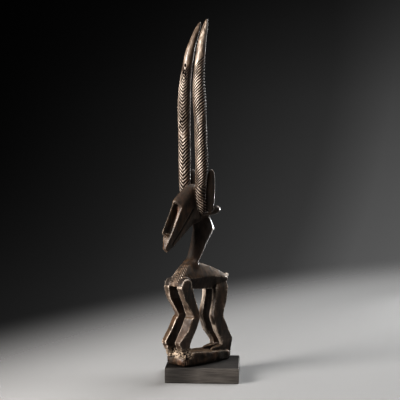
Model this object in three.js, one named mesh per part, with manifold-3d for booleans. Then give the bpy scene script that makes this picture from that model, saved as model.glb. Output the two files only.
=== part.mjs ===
// Antelope headdress carved from one piece of dark wood, standing on its wooden plinth.
// Millimetres, +Z up. The origin is the middle of the plinth's underside, and -Y is the viewer's side.
import * as THREE from "three";
import { mergeVertices } from "three/addons/utils/BufferGeometryUtils.js";
import Module from "manifold-3d";

const wasm = await Module();
wasm.setup();

// Plinth
const plinthLength = 151;
const plinthDepth = 133;
const plinthHeight = 32;
const plinthBevel = 1.2;

// Place of the carving on the plinth: it looks to the viewer's left, half towards the viewer
const seatGap = 0.3;
const heading = THREE.MathUtils.degToRad(-132);
const carvingShift = new THREE.Vector2(-11.5, -2);

// The figure's landmarks are in millimetres on a figure of landmarkHeight, and follow carvingHeight
const carvingHeight = 715;
const landmarkHeight = 715;
const figureScale = carvingHeight / landmarkHeight;

// Carved rings of the horns
const chevronPitch = 6.5;
const rootPitch = 5.4;
const chevronDepth = 1.5;
const chevronClimb = 21;
const rootClimb = -9;
const ridgeTurn = THREE.MathUtils.degToRad(33);
const hornSides = 12;

// Other carving
const legBevel = 2.2;
const cheekDepth = 19;
const noseThickness = 5.5;
const rimThickness = 3.2;
const earDish = 3.4;
const earFoot = 313;
const earTop = 404;
const hoofFoot = 15;
const roundSides = 12;

// A point of the figure: forward, aside to the animal's left, and up from the carving's underside
const spot = (forward, aside, up) => new THREE.Vector3(forward, aside, up).multiplyScalar(figureScale);

// Straight blend of the rows of a profile, each an object of numbers that holds its key
function blend(rows, key, value) {
  const next = Math.max(1, rows.findIndex((row) => row[key] >= value));
  const upper = value > rows.at(-1)[key] ? rows.at(-1) : rows[next];
  const lower = rows[rows.indexOf(upper) - 1];
  const share = THREE.MathUtils.clamp((value - lower[key]) / (upper[key] - lower[key]), 0, 1);
  const names = Object.keys(lower);
  return Object.fromEntries(names.map((name) => [name, THREE.MathUtils.lerp(lower[name], upper[name], share)]));
}

// Closed skin over rings with equal numbers of points, with a fan over each end
function skin(rings) {
  const points = rings.flat();
  const count = rings[0].length;
  const faces = [];
  for (let r = 0; r < rings.length - 1; r += 1) {
    for (let i = 0; i < count; i += 1) {
      const a = r * count + i;
      const b = r * count + ((i + 1) % count);
      faces.push(a, b, a + count, b, b + count, a + count);
    }
  }
  for (const [ring, start, turn] of [[rings[0], 0, -1], [rings.at(-1), (rings.length - 1) * count, 1]]) {
    const middle = ring.reduce((sum, p) => sum.add(p), new THREE.Vector3()).divideScalar(count);
    const hub = points.push(middle) - 1;
    for (let i = 0; i < count; i += 1) {
      const edge = [start + i, start + ((i + 1) % count)];
      faces.push(...(turn > 0 ? edge : edge.reverse()), hub);
    }
  }
  const geometry = new THREE.BufferGeometry().setFromPoints(points);
  geometry.setIndex(signedVolume(points, faces) < 0 ? faces.reverse() : faces);
  return geometry;
}

function signedVolume(points, faces) {
  let sum = 0;
  for (let i = 0; i < faces.length; i += 3) {
    const [a, b, c] = [points[faces[i]], points[faces[i + 1]], points[faces[i + 2]]];
    sum += a.dot(b.clone().cross(c)) / 6;
  }
  return sum;
}

// Solids for joining and cutting
function solidOf(geometry) {
  const bare = geometry.clone();
  bare.deleteAttribute("normal");
  bare.deleteAttribute("uv");
  const merged = mergeVertices(bare, 1e-4);
  return new wasm.Manifold(new wasm.Mesh({
    numProp: 3,
    vertProperties: new Float32Array(merged.attributes.position.array),
    triVerts: new Uint32Array(merged.index.array),
  }));
}

function geometryOf(solid) {
  const mesh = solid.getMesh();
  const geometry = new THREE.BufferGeometry();
  geometry.setAttribute("position", new THREE.BufferAttribute(new Float32Array(mesh.vertProperties), 3));
  geometry.setIndex(new THREE.BufferAttribute(new Uint32Array(mesh.triVerts), 1));
  geometry.computeVertexNormals();
  return geometry;
}

const bothSides = (make) => [make(1), make(-1)];

// Four corners in a ring, each cut back by the bevel along both of its edges
function bevelled(corners, bevel) {
  return corners.flatMap((corner, i) => {
    const before = corners.at(i - 1).clone().sub(corner).setLength(bevel);
    const after = corners[(i + 1) % corners.length].clone().sub(corner).setLength(bevel);
    return [corner.clone().add(before), corner.clone().add(after)];
  });
}

// Round bar through stations of a point and a radius
function bar(stations) {
  const rings = stations.map(([centre, radius], i) => {
    const ahead = stations[Math.min(i + 1, stations.length - 1)][0];
    const behind = stations[Math.max(i - 1, 0)][0];
    const along = ahead.clone().sub(behind).normalize();
    const across = new THREE.Vector3(0, 1, 0).cross(along).normalize();
    const third = along.clone().cross(across);
    return Array.from({ length: roundSides }, (_, k) => {
      const angle = (2 * Math.PI * k) / roundSides;
      const out = across.clone().multiplyScalar(Math.cos(angle)).addScaledVector(third, Math.sin(angle));
      return centre.clone().addScaledVector(out, radius * figureScale);
    });
  });
  return skin(rings);
}

// Carved base: an oblong slab with one blunt end under the front feet and a rounder rear end
function slab() {
  const outline = new THREE.CatmullRomCurve3([
    spot(63.5, -24, 0), spot(64, 16, 0), spot(59, 24, 0), spot(44, 30, 0), spot(0, 32, 0), spot(-62, 27, 0),
    spot(-83, 16, 0), spot(-85, 0, 0), spot(-78, -15, 0), spot(-60, -25, 0), spot(0, -29, 0), spot(58, -28.5, 0),
  ], true, "centripetal");
  const around = outline.getPoints(30).slice(0, -1);
  const layers = [{ up: 0, size: 0.96 }, { up: 6, size: 1 }, { up: 17, size: 0.99 }, { up: 22, size: 0.93 }];
  const topSlope = 0.028;
  return skin(layers.map(({ up, size }) => around.map((point) => {
    const lift = (up / layers.at(-1).up) * topSlope * point.x;
    return new THREE.Vector3(point.x * size, point.y * size, up * figureScale + lift);
  })));
}

// One leg: rings of a four-sided section, whose front may be slanted between its inner and outer edges
function leg(side, levels) {
  return skin(levels.map(({ up, back, inner, outer, inside, outside }) => bevelled([
    spot(back, side * inside, up),
    spot(inner, side * inside, up),
    spot(outer, side * outside, up),
    spot(back, side * outside, up),
  ], legBevel * figureScale)));
}

const frontLeg = (side) => leg(side, [
  { up: 179.5, back: 51, inner: 58, outer: 57, inside: 14, outside: 21 },
  { up: 176, back: 46, inner: 63, outer: 60, inside: 12, outside: 23.5 },
  { up: 171, back: 42.5, inner: 68, outer: 66, inside: 11.5, outside: 24.5 },
  { up: 163, back: 40, inner: 71, outer: 71, inside: 11, outside: 25 },
  { up: 137, back: 30, inner: 58, outer: 59, inside: 12, outside: 25 },
  { up: 103, back: 18.5, inner: 44, outer: 38, inside: 8, outside: 26 },
  { up: 98, back: 19.5, inner: 45, outer: 39.5, inside: 8, outside: 26 },
  { up: 75, back: 33, inner: 58, outer: 54, inside: 9, outside: 25 },
  { up: 52, back: 46, inner: 73, outer: 73, inside: 10, outside: 24 },
  { up: 42, back: 49, inner: 71, outer: 71, inside: 10, outside: 24 },
  { up: 16, back: 51, inner: 60, outer: 59, inside: 11, outside: 24 },
]);

const hindLeg = (side) => leg(side, [
  { up: 170, back: -68, inner: -44, outer: -44, inside: 5, outside: 15 },
  { up: 154, back: -74, inner: -30, outer: -30, inside: 6, outside: 18.5 },
  { up: 130, back: -70.5, inner: -26, outer: -26, inside: 7, outside: 18.5 },
  { up: 96, back: -59.5, inner: -17, outer: -18, inside: 7, outside: 19 },
  { up: 91, back: -60, inner: -18, outer: -19, inside: 7, outside: 19 },
  { up: 62, back: -76, inner: -34, outer: -35, inside: 7, outside: 18.5 },
  { up: 41, back: -89, inner: -52, outer: -50, inside: 6, outside: 17.5 },
  { up: 34, back: -87, inner: -55, outer: -53, inside: 6, outside: 17.5 },
  { up: 16, back: -79, inner: -54, outer: -53, inside: 6, outside: 17 },
]);

// Hoof with a sloping top, from its heel to its toe
function hoof(side, { heel, toe, heelTop, toeTop, inside, outside }) {
  const ring = (forward, top, inset) => bevelled([
    spot(forward, side * (inside + inset), hoofFoot),
    spot(forward, side * (outside - inset), hoofFoot),
    spot(forward, side * (outside - inset), top),
    spot(forward, side * (inside + inset), top),
  ], legBevel * figureScale);
  const shoulder = toe - 4;
  return skin([ring(heel, heelTop, 0), ring(shoulder, toeTop, 0), ring(toe, toeTop - 5, 2.5)]);
}

// Worn lump of crust between the two front hooves
const crust = () => new THREE.SphereGeometry(1, roundSides, 8)
  .scale(13 * figureScale, 13 * figureScale, 15 * figureScale)
  .translate(...spot(47, 0, 21).toArray());

// Body: roof-shaped back over a sharp flank crease, an undercut flank and a flat sloping chest
function body() {
  const sections = [
    { forward: -82, top: 172, shoulder: 171, part: 0.6, crease: 167, half: 8, belly: 160 },
    { forward: -77, top: 178, shoulder: 176, part: 0.6, crease: 170, half: 13.5, belly: 155 },
    { forward: -70, top: 182, shoulder: 180, part: 0.6, crease: 173, half: 18, belly: 152 },
    { forward: -58, top: 188, shoulder: 185, part: 0.6, crease: 176, half: 21.5, belly: 151 },
    { forward: -37, top: 198, shoulder: 193, part: 0.6, crease: 179, half: 23.5, belly: 152 },
    { forward: -4, top: 209, shoulder: 201, part: 0.6, crease: 180.5, half: 24, belly: 154 },
    { forward: 20, top: 212, shoulder: 204, part: 0.6, crease: 180.5, half: 23.5, belly: 156 },
    { forward: 37, top: 211, shoulder: 209, part: 0.45, crease: 181, half: 22, belly: 158 },
    { forward: 47, top: 201, shoulder: 200.5, part: 0.45, crease: 179, half: 21.5, belly: 159 },
    { forward: 60, top: 187, shoulder: 186.5, part: 0.62, crease: 175, half: 21, belly: 162 },
    { forward: 69.5, top: 172, shoulder: 171.5, part: 0.88, crease: 168, half: 20, belly: 165 },
  ];
  return skin(sections.map(({ forward, top, shoulder, part, crease, half, belly }) => {
    const [underFlank, bellyHalf] = [0.84 * half, 0.56 * half];
    const undercut = THREE.MathUtils.lerp(crease, belly, 0.35);
    const flank = [[part * half, shoulder], [half, crease], [underFlank, undercut], [bellyHalf, belly]];
    const left = flank.map(([aside, up]) => spot(forward, aside, up));
    const right = flank.map(([aside, up]) => spot(forward, -aside, up)).reverse();
    return [spot(forward, 0, top), ...left, ...right];
  }));
}

// Neck: level oval sections that lean back to the nape
function neck() {
  const sections = [
    { forward: 22, up: 189, long: 24, wide: 19 },
    { forward: 19.5, up: 211, long: 17.5, wide: 16 },
    { forward: 11, up: 221, long: 15.5, wide: 14 },
    { forward: -2, up: 248, long: 18.5, wide: 16 },
    { forward: -15, up: 274, long: 23.5, wide: 19.5 },
    { forward: -16, up: 284, long: 24, wide: 20 },
    { forward: -8, up: 309, long: 19, wide: 17 },
    { forward: 0, up: 329, long: 16, wide: 15 },
  ];
  return skin(sections.map(({ forward, up, long, wide }) => Array.from({ length: roundSides }, (_, k) => {
    const angle = (2 * Math.PI * k) / roundSides;
    return spot(forward + long * Math.cos(angle), wide * Math.sin(angle), up);
  })));
}

// Head: five lines run from the back of the head to the chin, as points of each section's left half
const headSections = [
  { top: [-13, 354], edge: [-15, 13, 349], side: [-17, 17, 328], jaw: [-16, 11, 308], throat: [-14, 304] },
  { top: [3, 370], edge: [1, 16, 362], side: [-4, 19.5, 334], jaw: [-8, 13, 302], throat: [-8, 298] },
  { top: [17, 375], edge: [15, 17, 367], side: [10, 20.5, 336], jaw: [4, 14, 297], throat: [4, 293] },
  { top: [45, 362], edge: [41, 17, 350], side: [33, 19, 319], jaw: [24, 12, 291], throat: [24, 288] },
  { top: [71, 339], edge: [60.5, 15.5, 326], side: [53, 16, 292], jaw: [43, 10, 275], throat: [43, 273] },
  { top: [103, 276], edge: [88, 12, 268], side: [76, 10, 260], jaw: [71, 6, 250], throat: [71, 248] },
  { top: [92, 269], edge: [89, 11.5, 266], side: [78, 9.5, 257], jaw: [73, 5.5, 247.5], throat: [73, 246] },
  { top: [97, 244], edge: [96.5, 4, 243], side: [93, 4, 240], jaw: [90, 3.5, 236], throat: [90, 235.5] },
];

function head() {
  return skin(headSections.map(({ top, edge, side, jaw, throat }) => {
    const left = [edge, side, jaw].map(([forward, aside, up]) => spot(forward, aside, up));
    const right = [jaw, side, edge].map(([forward, aside, up]) => spot(forward, -aside, up));
    return [spot(top[0], 0, top[1]), ...left, spot(throat[0], 0, throat[1]), ...right];
  }));
}

// Hollow of one cheek, between the nose's blade and the rim, from under the brow down to the mouth
function cheek(side) {
  const [brow, mouth] = [headSections[4], headSections[5]];
  const clear = 14;
  const rings = [0.05, 0.5, 0.97].map((share) => {
    const nose = new THREE.Vector2(...brow.top).lerp(new THREE.Vector2(...mouth.top), share);
    const rim = new THREE.Vector3(...brow.edge).lerp(new THREE.Vector3(...mouth.edge), share);
    const drop = (nose.y - rim.z) / rim.y;
    const level = (forward, aside) => spot(forward, side * aside, nose.y - drop * aside);
    const depth = cheekDepth * (1 - 0.35 * share);
    return [
      level(nose.x + clear, noseThickness / 2 - 0.6),
      level(nose.x - depth, noseThickness / 2 + 0.6),
      level(rim.x - 0.45 * depth, rim.y - rimThickness),
      level(rim.x + clear, rim.y - 0.8 * rimThickness),
    ];
  });
  return skin(rings);
}

// Horns: level round sections along a bowed line, carved with rings that climb from a ridge in front
const hornLine = [
  { up: 307, forward: 3, aside: 18, radius: 3 },
  { up: 314, forward: 5, aside: 18.5, radius: 7.5 },
  { up: 324, forward: 8, aside: 19.5, radius: 10.5 },
  { up: 337, forward: 12, aside: 21, radius: 12.5 },
  { up: 354, forward: 15, aside: 22.5, radius: 13 },
  { up: 376, forward: 14.5, aside: 24, radius: 12.7 },
  { up: 417, forward: 13.5, aside: 25, radius: 13.2 },
  { up: 462, forward: 14.7, aside: 24.3, radius: 13.1 },
  { up: 516, forward: 16.6, aside: 23.5, radius: 13.5 },
  { up: 549, forward: 17.2, aside: 22, radius: 13.8 },
  { up: 589, forward: 16.5, aside: 19.8, radius: 12.2 },
  { up: 633, forward: 10.1, aside: 17.5, radius: 10.4 },
  { up: 660, forward: 4.5, aside: 15.7, radius: 9 },
  { up: 687, forward: -5.3, aside: 12.6, radius: 7.1 },
  { up: 704, forward: -12.4, aside: 11, radius: 5.2 },
  { up: 712.5, forward: -15.8, aside: 10.3, radius: 3.2 },
  { up: 715, forward: -16.8, aside: 10.2, radius: 1.2 },
];
const crownUp = 376;
const carvedTop = 616;
const hornTop = { left: 715, right: 706 };

// Heights of the rings along the ridge, in turns a crest and a groove while they are carved
function ringHeights() {
  const heights = [];
  let up = hornLine[0].up;
  while (up < carvedTop) {
    heights.push({ up, groove: heights.length % 2 });
    up += (up < crownUp ? rootPitch : chevronPitch) / 2 / figureScale;
  }
  const smooth = hornLine.filter((row) => row.up > carvedTop + chevronPitch);
  return [...heights, ...smooth.map((row) => ({ up: row.up, groove: 0 }))];
}

function horn(side) {
  const squash = (side > 0 ? hornTop.left : hornTop.right) / hornLine.at(-1).up;
  return skin(ringHeights().map(({ up, groove }) => {
    const above = THREE.MathUtils.smoothstep(up, crownUp - 30, crownUp + 12);
    const ends = [[hornLine[0].up, crownUp - 44], [hornLine.at(-1).up, carvedTop]];
    const [foot, tip] = ends.map(([end, full]) => THREE.MathUtils.smoothstep((up - end) / (full - end), 0, 1));
    const climb = THREE.MathUtils.lerp(rootClimb, chevronClimb, above) * foot * tip;
    return Array.from({ length: hornSides }, (_, k) => {
      const angle = (2 * Math.PI * k) / hornSides;
      const turned = Math.min(angle, 2 * Math.PI - angle);
      const level = up + climb * Math.sin(turned / 2);
      const { forward, aside, radius } = blend(hornLine, "up", level);
      const reach = radius - (groove ? chevronDepth / figureScale : 0);
      const facing = angle - ridgeTurn;
      const squashed = level > crownUp ? crownUp + (level - crownUp) * squash : level;
      return spot(forward + reach * Math.cos(facing), side * (aside + reach * Math.sin(facing)), squashed);
    });
  }));
}

// Ear: an upright paddle behind the horn, dished on its outer face
function ear(side) {
  const middle = (earFoot + earTop) / 2;
  const rings = [0.02, 0.1, 0.24, 0.42, 0.6, 0.78, 0.9, 0.985].map((share) => {
    const up = THREE.MathUtils.lerp(earFoot, earTop, share);
    const reach = Math.abs(up - middle) / (earTop - middle);
    const half = 12 * (1 - reach ** 2.6) ** (1 / 2.6);
    const thick = 5 * Math.sqrt(1 - reach ** 2) + 0.8;
    return Array.from({ length: roundSides }, (_, k) => {
      const angle = (2 * Math.PI * k) / roundSides;
      const dish = Math.sin(angle) > 0 ? earDish * Math.sin(angle) ** 2 * (1 - reach) : 0;
      const aside = 23.5 + 4 * share + thick * Math.sin(angle) - dish;
      return spot(-12.5 + half * Math.cos(angle), side * aside, up);
    });
  });
  return skin(rings);
}

// Rounded lobe behind the foot of the ear
const lobe = (side) => bar([
  [spot(2, side * 19, 313), 4],
  [spot(-6, side * 20.5, 312.5), 5.5],
  [spot(-18, side * 22.5, 313.5), 5.5],
  [spot(-27, side * 23.5, 317), 7.5],
  [spot(-33, side * 24, 321), 7.5],
  [spot(-38, side * 24, 324), 4],
]);

const tail = () => bar([
  [spot(-60, 0, 175), 8], [spot(-76, 0, 173), 7.5], [spot(-84, 0, 174), 6], [spot(-90, 0, 178), 3.5],
]);

function carving() {
  const forms = [
    slab(), crust(), body(), neck(), head(), tail(),
    ...bothSides(frontLeg), ...bothSides(hindLeg), ...bothSides(horn), ...bothSides(ear), ...bothSides(lobe),
    ...bothSides((side) => hoof(side, { heel: 48, toe: 63, heelTop: 39, toeTop: 33, inside: 9, outside: 26 })),
    ...bothSides((side) => hoof(side, { heel: -80, toe: -37, heelTop: 31, toeTop: 29, inside: 5, outside: 19 })),
  ];
  const whole = forms.map(solidOf).reduce((sum, form) => sum.add(form));
  return geometryOf(bothSides(cheek).map(solidOf).reduce((sum, hollow) => sum.subtract(hollow), whole));
}

function plinthBlock() {
  const outline = new THREE.Shape();
  const [x, y] = [plinthLength / 2 - plinthBevel, plinthDepth / 2 - plinthBevel];
  outline.moveTo(-x, -y);
  outline.lineTo(x, -y);
  outline.lineTo(x, y);
  outline.lineTo(-x, y);
  const bevels = { bevelSize: plinthBevel, bevelThickness: plinthBevel, bevelSegments: 1 };
  const block = new THREE.ExtrudeGeometry(outline, { depth: plinthHeight - 2 * plinthBevel, ...bevels });
  return block.translate(0, 0, plinthBevel);
}

const darkWood = new THREE.MeshStandardMaterial({ color: 0x2b201a, roughness: 0.55, metalness: 0 });
const stainedWood = new THREE.MeshStandardMaterial({ color: 0x3a3734, roughness: 0.6, metalness: 0 });

const plinth = new THREE.Mesh(plinthBlock(), stainedWood);
plinth.name = "plinth";

const headdress = new THREE.Mesh(carving(), darkWood);
headdress.name = "headdress";
headdress.position.set(carvingShift.x, carvingShift.y, plinthHeight + seatGap);
headdress.rotation.z = heading;

const model = new THREE.Group();
model.add(plinth, headdress);
export default model;
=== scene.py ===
# Antelope headdress: the carving is modelled in millimetres as forward, aside (its left) and up,
# then turned onto its plinth in the shared frame, in metres.
import bpy
import bmesh
from math import atan2, cos, degrees, hypot, log, pi, radians, sin, sqrt
from mathutils import Matrix, Vector, noise


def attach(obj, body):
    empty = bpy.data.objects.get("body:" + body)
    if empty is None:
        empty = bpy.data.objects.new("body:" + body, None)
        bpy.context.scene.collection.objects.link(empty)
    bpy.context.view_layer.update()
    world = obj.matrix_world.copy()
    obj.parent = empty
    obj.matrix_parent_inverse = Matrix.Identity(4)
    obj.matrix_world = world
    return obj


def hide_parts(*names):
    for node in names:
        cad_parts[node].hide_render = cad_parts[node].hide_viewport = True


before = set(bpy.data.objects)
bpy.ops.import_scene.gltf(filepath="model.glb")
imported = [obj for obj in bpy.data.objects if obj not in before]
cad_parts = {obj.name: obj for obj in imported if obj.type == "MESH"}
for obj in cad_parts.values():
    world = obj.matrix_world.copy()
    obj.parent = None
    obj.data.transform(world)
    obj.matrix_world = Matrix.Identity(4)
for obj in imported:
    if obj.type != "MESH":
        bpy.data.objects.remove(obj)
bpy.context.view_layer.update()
print("frame loaded:", sorted(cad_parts))

figure = {
    "heading": -132.0,        # degrees from the plinth's long side
    "shift": (-11.5, -2.0),   # mm on the plinth
    "lift": 32.3,             # mm from the floor to the carving's underside
    "voxel": 1.25,            # mm, grain of the carved skin
    "keep": 0.5,              # share of its faces that stays, most of them along the edges
    "softenPasses": 1,
    "capPasses": 14,          # more of it on the head's cap and the shoulders
    "cap": (62, 21, 344),     # mm, behind, inside and above these
    "shoulders": (44, 186, 232),  # mm, behind the first and between the other two
}


# Small helpers for forms

def spot(forward, aside, up):
    return Vector((forward, aside, up))


def rise(low, high, value):
    # from 0 at the low value softly up to 1 at the high one
    share = min(max((value - low) / (high - low), 0.0), 1.0)
    return share * share * (3 - 2 * share)


def mixed(a, b, share):
    return a + (b - a) * share


def bump(distance, reach):
    # 1 in the middle and 0 from the reach on, on both sides
    return max(0.0, 1 - (distance / reach) ** 2) ** 2


def band(value, low, lowFull, highFull, high):
    # rises between the first two and falls again between the last two
    return rise(low, lowFull, value) * (1 - rise(highFull, high, value))


def curvePoint(a, b, c, d, t):
    # on the smooth curve from b to c, which comes from a and goes on to d
    square, cube = 2 * a - 5 * b + 4 * c - d, 3 * b - a - 3 * c + d
    return 0.5 * (2 * b + (c - a) * t + square * t * t + cube * t ** 3)


def spreadRows(rows, steps, soft=True):
    # more rows between the given ones, on a smooth curve or straight
    spread = []
    for i, (start, end) in enumerate(zip(rows, rows[1:])):
        before, after = rows[max(i - 1, 0)], rows[min(i + 2, len(rows) - 1)]
        for k in range(steps):
            if soft:
                spread.append([curvePoint(*four, k / steps) for four in zip(before, start, end, after)])
            else:
                spread.append([mixed(b, c, k / steps) for b, c in zip(start, end)])
    spread.append(list(rows[-1]))
    return spread


def rowAt(rows, value):
    # straight blend of rows whose first number rises
    if value <= rows[0][0]:
        return rows[0]
    for low, high in zip(rows, rows[1:]):
        if value <= high[0]:
            share = (value - low[0]) / (high[0] - low[0])
            return [mixed(a, b, share) for a, b in zip(low, high)]
    return rows[-1]


def turnsOf(count):
    return [2 * pi * k / count for k in range(count)]


def roundedRing(corners, radii, points=3):
    # a closed section whose corners are rounded by their own radii
    ring = []
    for i, corner in enumerate(corners):
        before, after = corners[i - 1] - corner, corners[(i + 1) % len(corners)] - corner
        radius = radii[i] if isinstance(radii, (list, tuple)) else radii
        start = corner + before.normalized() * min(radius, before.length * 0.48)
        end = corner + after.normalized() * min(radius, after.length * 0.48)
        for k in range(points):
            t = k / (points - 1)
            ring.append(start * (1 - t) ** 2 + corner * 2 * t * (1 - t) + end * t * t)
    return ring


def loft(form, rings):
    # adds a closed skin: a circle is set on the first ring and extruded from ring to ring
    made = bmesh.ops.create_circle(form, segments=len(rings[0]), radius=1)["verts"]
    ring = list(made)
    edges = list({edge for vert in ring for edge in vert.link_edges})
    for vert, place in zip(ring, rings[0]):
        vert.co = place
    firstEdges = edges
    for places in rings[1:]:
        grown = bmesh.ops.extrude_edge_only(form, edges=edges)["geom"]
        fresh = {item for item in grown if isinstance(item, bmesh.types.BMVert)}
        edges = [item for item in grown if isinstance(item, bmesh.types.BMEdge)
                 and item.verts[0] in fresh and item.verts[1] in fresh]
        ring = [next(edge.other_vert(vert) for edge in vert.link_edges
                     if edge.other_vert(vert) in fresh) for vert in ring]
        for vert, place in zip(ring, places):
            vert.co = place
    bmesh.ops.holes_fill(form, edges=firstEdges + edges)


def addObject(name, data):
    added = bpy.data.objects.new(name, data)
    bpy.context.collection.objects.link(added)
    return added


def asObject(form, name):
    # the form is used up
    bmesh.ops.recalc_face_normals(form, faces=form.faces)
    mesh = bpy.data.meshes.new(name)
    form.to_mesh(mesh)
    form.free()
    return addObject(name, mesh)


def lofted(rings, name):
    form = bmesh.new()
    loft(form, rings)
    return asObject(form, name)


def bake(piece):
    # the result of the piece's modifiers becomes its mesh
    evaluated = piece.evaluated_get(bpy.context.evaluated_depsgraph_get())
    settled = bpy.data.meshes.new_from_object(evaluated)
    piece.modifiers.clear()
    old = piece.data
    piece.data = settled
    bpy.data.meshes.remove(old)


def combine(piece, tool, how):
    # boolean of two closed pieces; the tool is used up
    step = piece.modifiers.new("combine", "BOOLEAN")
    step.operation = how
    step.solver = "MANIFOLD"
    step.object = tool
    bake(piece)
    bpy.data.objects.remove(tool)


bothSides = (1, -1)

# Carved base, legs and hooves

base = {
    # forward, aside
    "outline": [(63.5, -24), (64, 16), (59, 24), (44, 30), (0, 32), (-62, 27), (-83, 16), (-85, 0),
                (-78, -15), (-60, -25), (0, -29), (58, -28.5)],
    # up, size
    "layers": [(0, 0.92), (3, 0.965), (7, 1.0), (13, 1.0), (18, 0.995), (21.5, 0.975), (24.5, 0.93)],
    "slope": 0.09,            # the top rises towards the front
    "steps": 6,
    "lump": (47, 0, 21),      # crumbled mound between the front hooves
    "lumpRadius": 13,
    "lumpHeight": 15,
}


def baseRings():
    loop = base["outline"]
    closed = spreadRows([loop[-1]] + loop + loop[:2], base["steps"])
    around = closed[base["steps"]:-base["steps"] - 1]
    top = base["layers"][-1][0]
    return [[spot(x * size, y * size, up + up / top * base["slope"] * x) for x, y in around]
            for up, size in base["layers"]]


legs = {
    "bevel": 2.0,
    # up, back, front at the inner edge, front at the outer edge, inside, outside
    "front": [(181.5, 49, 60.5, 60.5, 14, 23.5), (179, 45, 66, 65.5, 12, 25.8),
              (173, 41.5, 70.5, 70.5, 11.5, 26.5), (163, 40, 72.5, 72.5, 11, 26),
              (137, 30, 62, 60.5, 12, 25), (105, 18.5, 44, 37.5, 8, 26),
              (100.5, 18.8, 43.5, 37.5, 8, 26.8), (98.3, 19, 47.5, 41.5, 8, 27.5),
              (75, 30, 61, 54.5, 9, 28), (52, 41.5, 77.5, 75.5, 10, 24.5), (47, 43.5, 77, 76, 10, 24.5),
              (44, 45, 74, 73.5, 10.5, 24.5), (38, 46, 73.5, 70, 9, 24.5), (16, 50, 60, 59, 11, 24)],
    "hind": [(170, -68, -44, -44, 5, 15), (154, -71.5, -33, -34, 8, 21), (130, -67.5, -31, -32, 9, 21.5),
             (96, -55.5, -22.5, -23.5, 9.5, 23), (91, -56, -23, -24.5, 9.5, 23.5),
             (62, -71, -35.5, -36, 9.5, 23.5), (41, -86.5, -53, -51, 7, 20), (34, -85, -56, -54, 7, 19.5),
             (16, -77.5, -55, -54, 6, 19)],
    "farShift": (3.5, 2.0),   # the far front leg stands further forward and out
    "shiftFades": (140, 172),
    # forward, top, inside, outside
    "frontHoof": [(48, 39, 9, 26), (56, 36, 9, 26), (60, 33, 9, 26), (63, 28, 11.5, 23.5)],
    "hindHoof": [(-80, 31, 5, 19), (-58, 30, 5, 19), (-42, 28.5, 5.5, 18), (-32, 27, 8, 15.5),
                 (-27, 24, 10, 13)],
    "sole": 15,
    "hoofBevel": 1.6,
}


def legRings(levels, side, shift=(0, 0)):
    rings = []
    for up, back, inner, outer, inside, outside in spreadRows(levels, 3, soft=False):
        low = 1 - rise(*legs["shiftFades"], up)
        section = ((back, inside), (inner, inside), (outer, outside), (back, outside))
        corners = [spot(forward + low * shift[0], side * (aside + low * shift[1]), up)
                   for forward, aside in section]
        rings.append(roundedRing(corners, legs["bevel"]))
    return rings


def hoofRings(stations, side):
    rings = []
    sole = legs["sole"]
    for forward, top, inside, outside in stations:
        section = ((inside, sole), (outside, sole), (outside, top), (inside, top))
        corners = [spot(forward, side * aside, up) for aside, up in section]
        rings.append(roundedRing(corners, legs["hoofBevel"]))
    return rings


# Body, neck, head, ears and tail

body = {
    # forward, top, shoulder, part, crease, half, belly
    "sections": [(-82, 172, 171, 0.6, 167, 8, 160), (-77, 178, 176, 0.6, 170, 13.5, 155),
                 (-70, 182, 180, 0.6, 173, 18, 152), (-58, 188, 185, 0.6, 176, 21.5, 151),
                 (-37, 198, 193, 0.6, 179, 23.5, 152), (-4, 209, 201, 0.6, 180.5, 24, 154),
                 (20, 212, 204, 0.6, 180.5, 23.5, 156), (37, 210, 205, 0.58, 180.5, 22, 158),
                 (47, 201, 197, 0.62, 178, 21.5, 159), (60, 187, 185, 0.68, 174, 21, 162),
                 (69.5, 172, 171.5, 0.88, 168, 20, 165)],
    "underFlank": 0.84,
    "bellyHalf": 0.56,
}


def bodyRings():
    rings = []
    for forward, top, shoulder, part, crease, half, belly in spreadRows(body["sections"], 3):
        crown = [(0, top)]
        for k in (1, 2, 3):  # rounded back from the spine to the shoulder
            turn = pi / 2 * k / 3
            crown.append((part * half * sin(turn), top - (top - shoulder) * (1 - cos(turn))))
        flank = [(mixed(part, 1, 0.5) * half, mixed(shoulder, crease, 0.42)),
                 (half, crease + 0.6), (half, crease - 0.6),
                 (body["underFlank"] * half, mixed(crease, belly, 0.35)),
                 (body["bellyHalf"] * half, belly)]
        left = [spot(forward, aside, up) for aside, up in crown + flank]
        right = [spot(forward, -aside, up) for aside, up in reversed(crown[1:] + flank)]
        rings.append(left + right)
    return rings


neck = {
    # forward, up, half length, half width
    "sections": [(22, 189, 24, 19), (19.5, 211, 17.5, 16), (11, 221, 15.5, 14), (-2, 248, 18.5, 16),
                 (-15, 274, 23.5, 19.5), (-16, 284, 24, 20), (-8, 309, 19, 17), (0, 329, 16, 15)],
    "sides": 40,
}


def neckRings():
    rings = []
    for forward, up, long, wide in spreadRows(neck["sections"], 4):
        rings.append([spot(forward + long * cos(turn), wide * sin(turn), up)
                      for turn in turnsOf(neck["sides"])])
    return rings


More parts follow.
